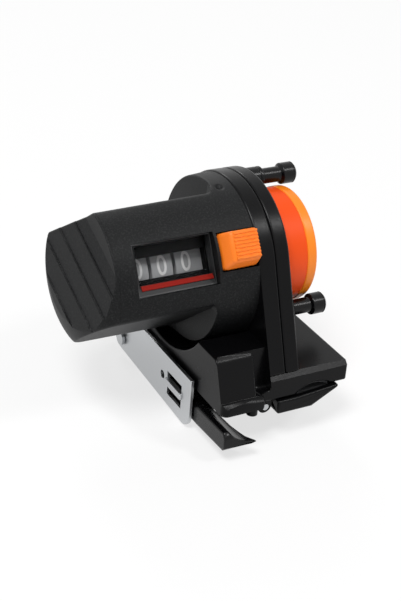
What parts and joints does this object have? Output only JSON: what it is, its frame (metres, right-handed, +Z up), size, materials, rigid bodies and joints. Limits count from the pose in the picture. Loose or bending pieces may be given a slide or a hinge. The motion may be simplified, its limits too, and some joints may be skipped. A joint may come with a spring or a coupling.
{
  "type": "fishing line counter",
  "caption": "Clip-on fishing line counter: an orange measuring wheel drives number wheels in a tapered black barrel, with a reset button, line guide posts and a sprung rod clamp.",
  "frame": {"origin": "On the rod seat under the base, straight below the wheel.", "axes": "X runs along the wheel axis from the barrel to the wheel, Y along the rod from the display side to the rear, Z up."},
  "size_m": [0.0711, 0.07, 0.0636],
  "materials": {
    "base_plastic": "satin moulded black plastic",
    "housing_plastic": "fine textured black plastic",
    "post_plastic": "polished black plastic",
    "bezel_plastic": "dark grey moulded plastic",
    "window_clear": "clear plastic window",
    "index_red": "bright red strip",
    "number_plastic": "grey moulded plastic with white numbers",
    "gear_plastic": "natural acetal",
    "wheel_orange": "satin orange plastic",
    "tread_rubber": "smooth red-orange rubber",
    "button_orange": "satin orange plastic",
    "pad_rubber": "black rubber",
    "steel": "turned steel",
    "black_steel": "blackened steel",
    "pressed_steel": "plated pressed steel",
    "brass": "turned brass"
  },
  "bodies": {
    "frame": {"frame_base": "base_plastic", "wheel_cover": "base_plastic", "counter_housing": "housing_plastic", "end_cap": "housing_plastic", "window_bezel": "bezel_plastic", "window_lens": "window_clear", "index_strip": "index_red", "number_mask": "housing_plastic", "rear_guide_post": "post_plastic", "front_guide_post": "post_plastic", "guide_post_screws": "steel", "housing_screws": "steel", "cover_screws": "black_steel", "shaft_bushes": "brass", "number_arbor": "steel", "lay_shaft": "steel", "carry_shaft": "steel", "movement_plate": "brass", "movement_pillars": "brass", "jaw_pin": "steel", "lever_pin": "steel", "stop_stud": "base_plastic", "upper_rod_pad": "pad_rubber", "reset_spring": "steel", "jaw_spring": "steel", "lever_spring": "steel"},
    "wheel": {"measuring_wheel": "wheel_orange", "wheel_tread": "tread_rubber", "wheel_shaft": "steel", "wheel_screw": "steel", "drive_pinion": "brass"},
    "first_reduction": {"first_gear": "gear_plastic"},
    "second_reduction": {"second_gear": "gear_plastic"},
    "third_reduction": {"third_gear": "gear_plastic"},
    "units": {"units_wheel": "number_plastic", "units_gear": "gear_plastic"},
    "tens": {"tens_wheel": "number_plastic"},
    "hundreds": {"hundreds_wheel": "number_plastic"},
    "tens_carry": {"tens_carry_pinion": "brass"},
    "hundreds_carry": {"hundreds_carry_pinion": "brass"},
    "button": {"reset_button": "button_orange"},
    "jaw": {"lower_jaw": "base_plastic", "lower_rod_pad": "pad_rubber"},
    "lever": {"lever_channel": "pressed_steel", "thumb_lever": "base_plastic", "lever_screw": "steel"}
  },
  "joints": [
    {"name": "wheel_spin", "type": "hinge", "parent": "frame", "child": "wheel", "pos_m": [0, 0, 0.028], "axis": [1, 0, 0], "continuous": true},
    {"name": "first_gear_spin", "type": "hinge", "parent": "frame", "child": "first_reduction", "pos_m": [0, 0.00281, 0.01882], "axis": [1, 0, 0], "continuous": true},
    {"name": "second_gear_spin", "type": "hinge", "parent": "frame", "child": "second_reduction", "pos_m": [0, 0, 0.028], "axis": [1, 0, 0], "continuous": true},
    {"name": "third_gear_spin", "type": "hinge", "parent": "frame", "child": "third_reduction", "pos_m": [0, 0.00281, 0.01882], "axis": [1, 0, 0], "continuous": true},
    {"name": "units_spin", "type": "hinge", "parent": "frame", "child": "units", "pos_m": [0, 0, 0.028], "axis": [1, 0, 0], "continuous": true},
    {"name": "tens_spin", "type": "hinge", "parent": "frame", "child": "tens", "pos_m": [0, 0, 0.028], "axis": [1, 0, 0], "continuous": true},
    {"name": "hundreds_spin", "type": "hinge", "parent": "frame", "child": "hundreds", "pos_m": [0, 0, 0.028], "axis": [1, 0, 0], "continuous": true},
    {"name": "tens_carry_spin", "type": "hinge", "parent": "frame", "child": "tens_carry", "pos_m": [0, 0.00401, 0.0149], "axis": [1, 0, 0], "continuous": true},
    {"name": "hundreds_carry_spin", "type": "hinge", "parent": "frame", "child": "hundreds_carry", "pos_m": [0, 0.00401, 0.0149], "axis": [1, 0, 0], "continuous": true},
    {"name": "button_press", "type": "slide", "parent": "frame", "child": "button", "axis": [0, 0.8572, -0.515], "range_m": [0, 0.002], "stiffness_N_per_m": 400, "springref_m": -0.003, "deforming": ["reset_spring"]},
    {"name": "lever_swing", "type": "hinge", "parent": "frame", "child": "lever", "pos_m": [-0.0246, 0.0222, -0.0068], "axis": [-1, 0, 0], "range_deg": [0, 2.9], "stiffness_Nm_per_rad": 0.2, "springref_deg": -28.65, "deforming": ["lever_spring"]},
    {"name": "jaw_swing", "type": "hinge", "parent": "frame", "child": "jaw", "pos_m": [-0.0152, 0, -0.0016], "axis": [0, 1, 0], "range_deg": [0, 23.2], "deforming": ["jaw_spring"]}
  ],
  "couplings": [
    {"joint": "first_gear_spin", "follows": "wheel_spin", "ratio": -0.2},
    {"joint": "second_gear_spin", "follows": "wheel_spin", "ratio": 0.04},
    {"joint": "third_gear_spin", "follows": "wheel_spin", "ratio": -0.02},
    {"joint": "units_spin", "follows": "wheel_spin", "ratio": 0.01},
    {"joint": "tens_spin", "follows": "wheel_spin", "ratio": 0.001},
    {"joint": "hundreds_spin", "follows": "wheel_spin", "ratio": 0.0001},
    {"joint": "tens_carry_spin", "follows": "wheel_spin", "ratio": -0.0025},
    {"joint": "hundreds_carry_spin", "follows": "wheel_spin", "ratio": -0.00025},
    {"joint": "jaw_swing", "follows": "lever_swing", "ratio": 8}
  ]
}
